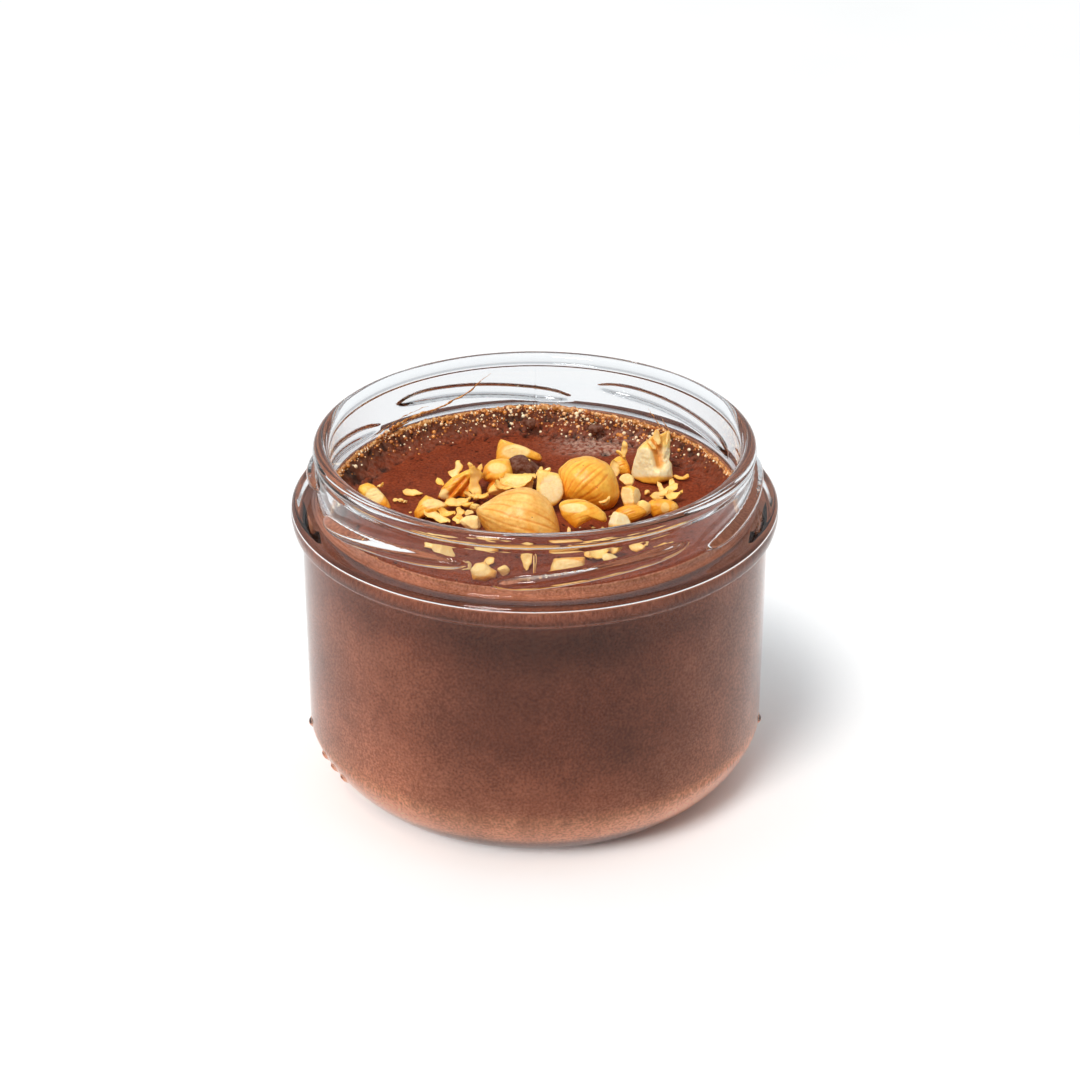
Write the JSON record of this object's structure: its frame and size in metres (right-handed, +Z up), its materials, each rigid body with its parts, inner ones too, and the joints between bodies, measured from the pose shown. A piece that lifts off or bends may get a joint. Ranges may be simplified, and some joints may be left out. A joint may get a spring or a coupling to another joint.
{
  "type": "chocolate mousse",
  "caption": "Chocolate mousse in a low, wide open glass jar with a threaded neck, topped with whole and broken hazelnuts.",
  "frame": {"origin": "centre of the jar's foot, on the surface that it stands on", "axes": "+Z up along the jar's axis, -Y the front, from which the jar is seen, +X to the right"},
  "size_m": [0.0878, 0.088, 0.0664],
  "materials": {
    "jar_glass": "clear, smooth, colourless",
    "mousse_foam": "airy chocolate foam, matte to softly moist, fine pores",
    "hazelnut": "roasted blanched kernel, golden, satin, slightly oily"
  },
  "bodies": {
    "root": {"jar": "jar_glass", "mousse": "mousse_foam", "hazelnut_whole_front": "hazelnut", "hazelnut_whole_back": "hazelnut", "hazelnut_shell_back": "hazelnut", "hazelnut_chunk_middle": "hazelnut", "hazelnut_half_middle": "hazelnut", "hazelnut_half_front": "hazelnut", "hazelnut_chunk_right": "hazelnut", "hazelnut_slice_left": "hazelnut", "hazelnut_chunk_left": "hazelnut", "hazelnut_curl_left": "hazelnut", "hazelnut_chunk_back": "hazelnut", "hazelnut_chunk_centre": "hazelnut", "hazelnut_slice_right": "hazelnut", "hazelnut_slice_front": "hazelnut", "hazelnut_chunk_side": "hazelnut", "hazelnut_block_front": "hazelnut", "hazelnut_chunk_front": "hazelnut"}
  },
  "joints": []
}
